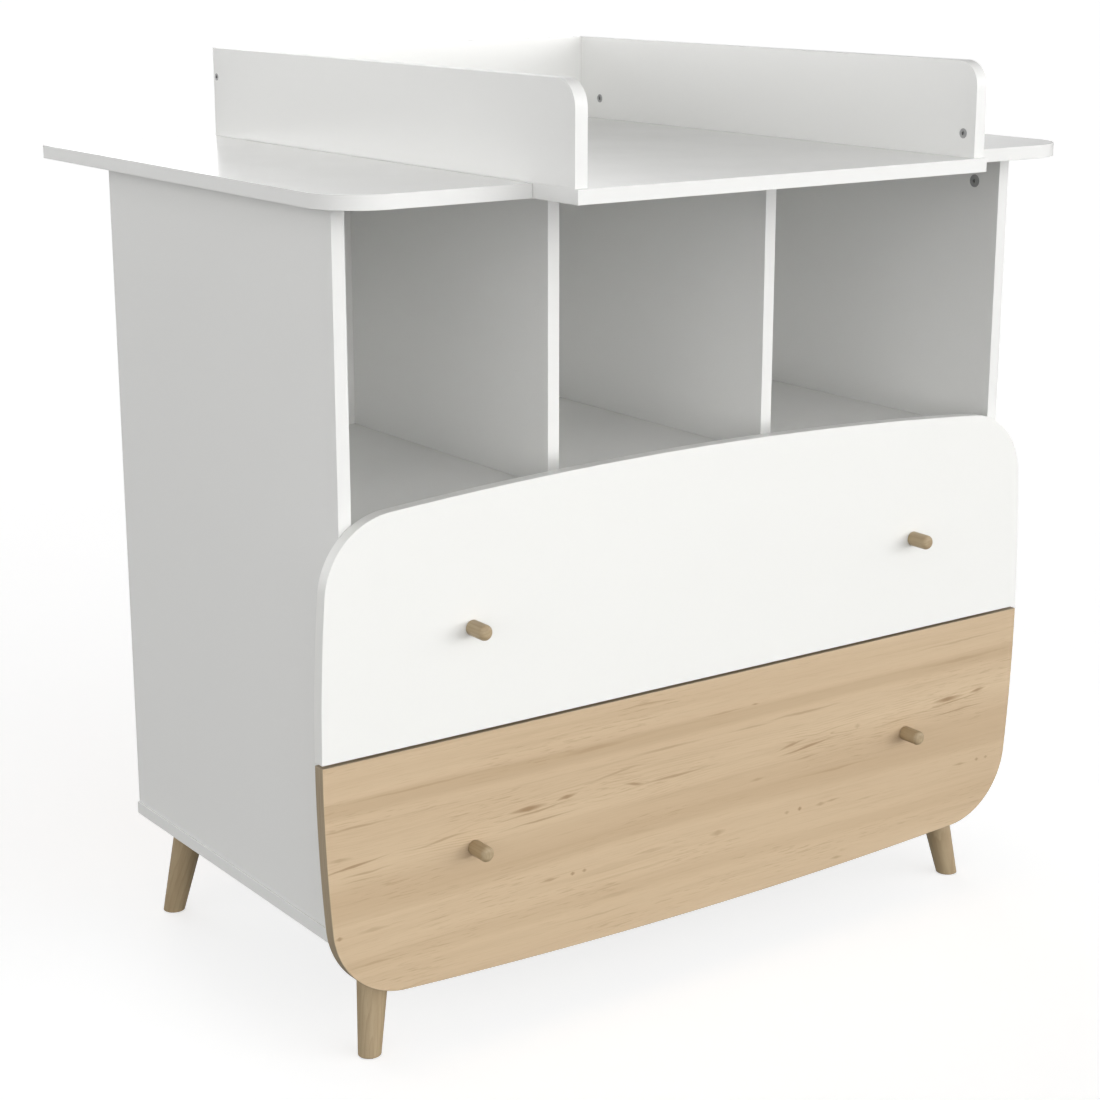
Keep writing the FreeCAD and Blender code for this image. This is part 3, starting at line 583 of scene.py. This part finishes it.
def front_outline(side, reach, arch, corner, split):
    """Half of the rounded outline, above (side 1) or below (side -1) the cut, anticlockwise
    for the upper half; heights count from the widest level."""
    half = CAD_HIGH.x
    flank_centre = (half - FLANK_RADIUS, 0)
    arch_centre = (0, side * (reach - arch))
    round_centre = meet(flank_centre, FLANK_RADIUS - corner, arch_centre, arch - corner, side)
    on_flank = bearing(flank_centre, round_centre)
    on_arch = bearing(arch_centre, round_centre)
    start = math.asin(split / FLANK_RADIUS)
    right = arc(flank_centre, FLANK_RADIUS, start, on_flank, 14)
    right += arc(round_centre, corner, on_flank, on_arch, 36)[1:]
    middle = arc(arch_centre, arch, on_arch, side * math.pi / 2, 24)[1:]
    points = right + middle
    return points + [(-x, y) for x, y in reversed(points[:-1])]


def drawer_front(node, side, reach, arch, corner):
    low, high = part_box(node)
    split = (low.z if side > 0 else high.z) - FRONT_LEVEL
    outline = front_outline(side, reach, arch, corner, split)
    front = slab(node + "_board", outline, low.y, high.y,
                 lambda u, v, depth: (u, depth, v + FRONT_LEVEL))
    stand_in(front, node, FRONT_EDGE)


# ---- wings and guards -----------------------------------------------------------------------

def rounded_rectangle(low, high, corner, radius):
    """A rectangle's outline, with one corner (as signs from the middle) rounded."""
    outline = []
    for sign_u, sign_v, first in ((1, 1, 0), (-1, 1, 90), (-1, -1, 180), (1, -1, 270)):
        u = high[0] if sign_u > 0 else low[0]
        v = high[1] if sign_v > 0 else low[1]
        if (sign_u, sign_v) == corner:
            centre = (u - sign_u * radius, v - sign_v * radius)
            outline += arc(centre, radius, math.radians(first), math.radians(first + 90), 32)
        else:
            outline.append((u, v))
    return outline


def wing(node, side):
    low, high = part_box(node)
    outline = rounded_rectangle((low.x, low.y), (high.x, high.y), (side, -1), WING_ROUND)
    top = slab(node + "_board", outline, low.z, high.z, lambda u, v, depth: (u, v, depth))
    stand_in(top, node)


def side_guard(node, side):
    low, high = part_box(node)
    outline = rounded_rectangle((low.y, low.z), (high.y, high.z), (-1, 1), GUARD_ROUND)
    guard = slab(node + "_board", outline, low.x, high.x, lambda u, v, depth: (depth, u, v))
    inner, outer = (low.x, high.x) if side > 0 else (high.x, low.x)
    cutters = [cylinder(CAM_RADIUS, CAM_DEEP, (inner, y, low.z + GUARD_REACH), (side, 0, 0))
               for y in (high.y - GUARD_REAR_CAM, low.y + GUARD_FRONT_CAM)]
    rear = high.y - (high.x - low.x) / 2
    cutters.append(cylinder(SCREW_HEAD, SCREW_HEAD_DEEP, (outer, rear, low.z + GUARD_SCREW),
                            (-side, 0, 0)))
    cut_out(guard, cutters)
    stand_in(guard, node)


# ---- turned pieces --------------------------------------------------------------------------

def lathe(profile, steps=72):
    """A closed solid of revolution about Z from (radius, height) points, bottom to top."""
    bm = bmesh.new()
    rings = []
    for radius, height in profile:
        if radius < 1e-7:
            rings.append([bm.verts.new((0, 0, height))])
        else:
            rings.append([bm.verts.new((radius * math.cos(math.tau * step / steps),
                                        radius * math.sin(math.tau * step / steps), height))
                          for step in range(steps)])
    for below, above in zip(rings, rings[1:]):
        for step in range(steps):
            after = (step + 1) % steps
            corners = [below[step % len(below)], below[after % len(below)],
                       above[after % len(above)], above[step % len(above)]]
            bm.faces.new(list(dict.fromkeys(corners)))
    bmesh.ops.recalc_face_normals(bm, faces=bm.faces)
    for face in bm.faces:
        face.smooth = True
    return bm


def turned_piece(node, bm, pose, number):
    """Place a lathed solid; its grain space is turned and shifted, so no two pieces match."""
    mesh = bpy.data.meshes.new(node + "_turned")
    bm.to_mesh(mesh)
    bm.free()
    own = Matrix.Translation((0, 0, 0.31 * number)) @ Matrix.Rotation(1.7 * number, 4, "Z")
    grain = mesh.attributes.new("grain", "FLOAT_VECTOR", "POINT")
    for vertex, value in zip(mesh.vertices, grain.data):
        value.vector = own @ vertex.co
    mesh.transform(pose)
    piece = link_object(node + "_turned", mesh)
    stand_in(piece, node, None)
    return piece


def knob(node, number):
    """A peg turned about Y, with rounded rims."""
    low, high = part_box(node)
    radius, long = (high.x - low.x) / 2, high.y - low.y
    profile = [(0, 0), (radius - KNOB_BACK_EDGE, 0)]
    profile += [(radius - 0.3 * KNOB_BACK_EDGE, 0.3 * KNOB_BACK_EDGE)]
    profile += [(radius, KNOB_BACK_EDGE), (radius, long / 2)]
    profile += arc((radius - KNOB_EDGE, long - KNOB_EDGE), KNOB_EDGE, 0, math.pi / 2, 10)
    profile += [(radius / 4, long), (0, long)]
    pose = (Matrix.Translation(((low.x + high.x) / 2, high.y, (low.z + high.z) / 2))
            @ Matrix.Rotation(math.radians(90), 4, "X"))
    turned_piece(node, lathe(profile), pose, number)


def leg(node, side, front, number):
    """A tapered round leg that leans outwards, cut level at both ends."""
    cabinet_low, cabinet_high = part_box("right_side_panel")
    low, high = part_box(node)
    way = -1 if front else 1
    edge_y = cabinet_low.y if front else cabinet_high.y
    top = Vector((side * (cabinet_high.x - LEG_SIDE_INSET), edge_y - way * LEG_FRONT_INSET, high.z))
    lean = Vector((side * LEG_SPLAY, way * LEG_SPLAY, -1)).normalized()
    long = high.z / -lean.z
    spare = 15 * MM               # extra length at each end, cut off below
    taper = (LEG_TOP - LEG_FOOT) / long
    steps = 12
    profile = [(0, -spare)]
    for step in range(steps + 1):
        height = -spare + (long + 2 * spare) * step / steps
        profile.append((LEG_FOOT + taper * height, height))
    profile.append((0, long + spare))
    bm = lathe(profile, 96)
    foot = top + lean * long
    turn = Vector((0, 0, 1)).rotation_difference(-lean).to_matrix().to_4x4()
    pose = Matrix.Translation(foot) @ turn
    back = pose.inverted()
    for level, direction in ((high.z, 1), (low.z, -1)):
        point = back @ Vector((foot.x, foot.y, level))
        normal = back.to_3x3() @ Vector((0, 0, direction))
        halves = bmesh.ops.bisect_plane(bm, geom=bm.verts[:] + bm.edges[:] + bm.faces[:],
                                        plane_co=point, plane_no=normal, clear_outer=True)
        rim = [item for item in halves["geom_cut"] if isinstance(item, bmesh.types.BMEdge)]
        bmesh.ops.contextual_create(bm, geom=rim)
        if direction < 0:
            bmesh.ops.bevel(bm, geom=rim, offset=LEG_EDGE, segments=6, affect="EDGES", profile=0.5)
    bmesh.ops.recalc_face_normals(bm, faces=bm.faces)
    for face in bm.faces:
        face.smooth = True
    piece = turned_piece(node, bm, pose, number)
    normals = piece.modifiers.new("normals", "WEIGHTED_NORMAL")
    normals.keep_sharp = False


# ---- studio ---------------------------------------------------------------------------------

CAMERA_PLACE = (-1.570, -2.151, 1.162)
CAMERA_TILT = 74.96           # degrees up from straight down
CAMERA_TURN = -35.36          # degrees from looking straight back
CAMERA_LENS = 75.5
FLOOR_RADIUS = 60


def make_camera():
    data = bpy.data.cameras.new("camera")
    data.sensor_width = 36
    data.lens = CAMERA_LENS
    data.clip_end = 100
    camera = bpy.data.objects.new("camera", data)
    camera.location = CAMERA_PLACE
    camera.rotation_euler = (math.radians(CAMERA_TILT), 0, math.radians(CAMERA_TURN))
    bpy.context.scene.collection.objects.link(camera)
    bpy.context.scene.camera = camera


# Soft walls of light: bearing from the front towards the right, in degrees, how narrow, and how
# strong.
LIGHT_WALLS = ((50, 7, 4.5), (5, 3, 4.2), (-78, 4, 2.9), (180, 5, 6.2))
LEAST_LIGHT = 0.16
SKY_FALL = 1.3                # how fast the walls' light falls off with height


def make_world():
    """Soft light from the walls, less of it from overhead, and a white background."""
    world = bpy.data.worlds.new("studio")
    world.use_nodes = True
    tree = world.node_tree
    split = add(tree, "SeparateXYZ", Vector=add(tree, "TexCoord").outputs["Generated"])
    right, back = split.outputs["X"], split.outputs["Y"]
    sky = maths(tree, "POWER", maths(tree, "SUBTRACT", 1.0, split.outputs["Z"]), SKY_FALL)
    total = LEAST_LIGHT
    for bearing_degrees, narrow, strength in LIGHT_WALLS:
        turn = math.radians(bearing_degrees)
        facing = maths(tree, "ADD", maths(tree, "MULTIPLY", right, math.sin(turn)),
                       maths(tree, "MULTIPLY", back, -math.cos(turn)))
        wall = maths(tree, "POWER", maths(tree, "MAXIMUM", facing, 0.0), narrow)
        wall = maths(tree, "MULTIPLY", wall, sky)
        total = maths(tree, "ADD", total, maths(tree, "MULTIPLY", wall, strength))
    seen = add(tree, "LightPath").outputs["Is Camera Ray"]
    white = maths(tree, "MULTIPLY", maths(tree, "SUBTRACT", 1.0, total), seen)
    put(tree, tree.nodes["Background"].inputs["Strength"], maths(tree, "ADD", total, white))
    tree.nodes["Background"].inputs["Color"].default_value = (1.0, 1.0, 1.0, 1)
    bpy.context.scene.world = world


def make_studio():
    bm = bmesh.new()
    bmesh.ops.create_circle(bm, cap_ends=True, segments=96, radius=FLOOR_RADIUS)
    mesh = bpy.data.meshes.new("studio_floor")
    bm.to_mesh(mesh)
    bm.free()
    floor = link_object("studio_floor", mesh)
    floor.data.materials.append(floor_material())
    make_world()
    bpy.context.scene.view_settings.view_transform = "Standard"


# ---- build ----------------------------------------------------------------------------------

make_camera()
make_studio()

drawer_front("upper_drawer_front", 1, FRONT_UP, CROWN_RADIUS, CROWN_CORNER)
drawer_front("lower_drawer_front", -1, FRONT_DOWN, KEEL_RADIUS, KEEL_CORNER)
for word, side in (("left", -1), ("right", 1)):
    wing(word + "_wing", side)
    side_guard("tray_%s_guard" % word, side)
    knob("upper_drawer_%s_knob" % word, 2 + side)
    knob("lower_drawer_%s_knob" % word, 5 + side)
    leg("front_%s_leg" % word, side, True, 8 + side)
    leg("rear_%s_leg" % word, side, False, 11 + side)

for name, node in frame["nodes"].items():
    if not node.hide_render:
        give_material(node, SLOT_OF[name])
        if SLOT_OF[name] == "white_board":
            ease_edges(node, EDGE, dissolve=True)
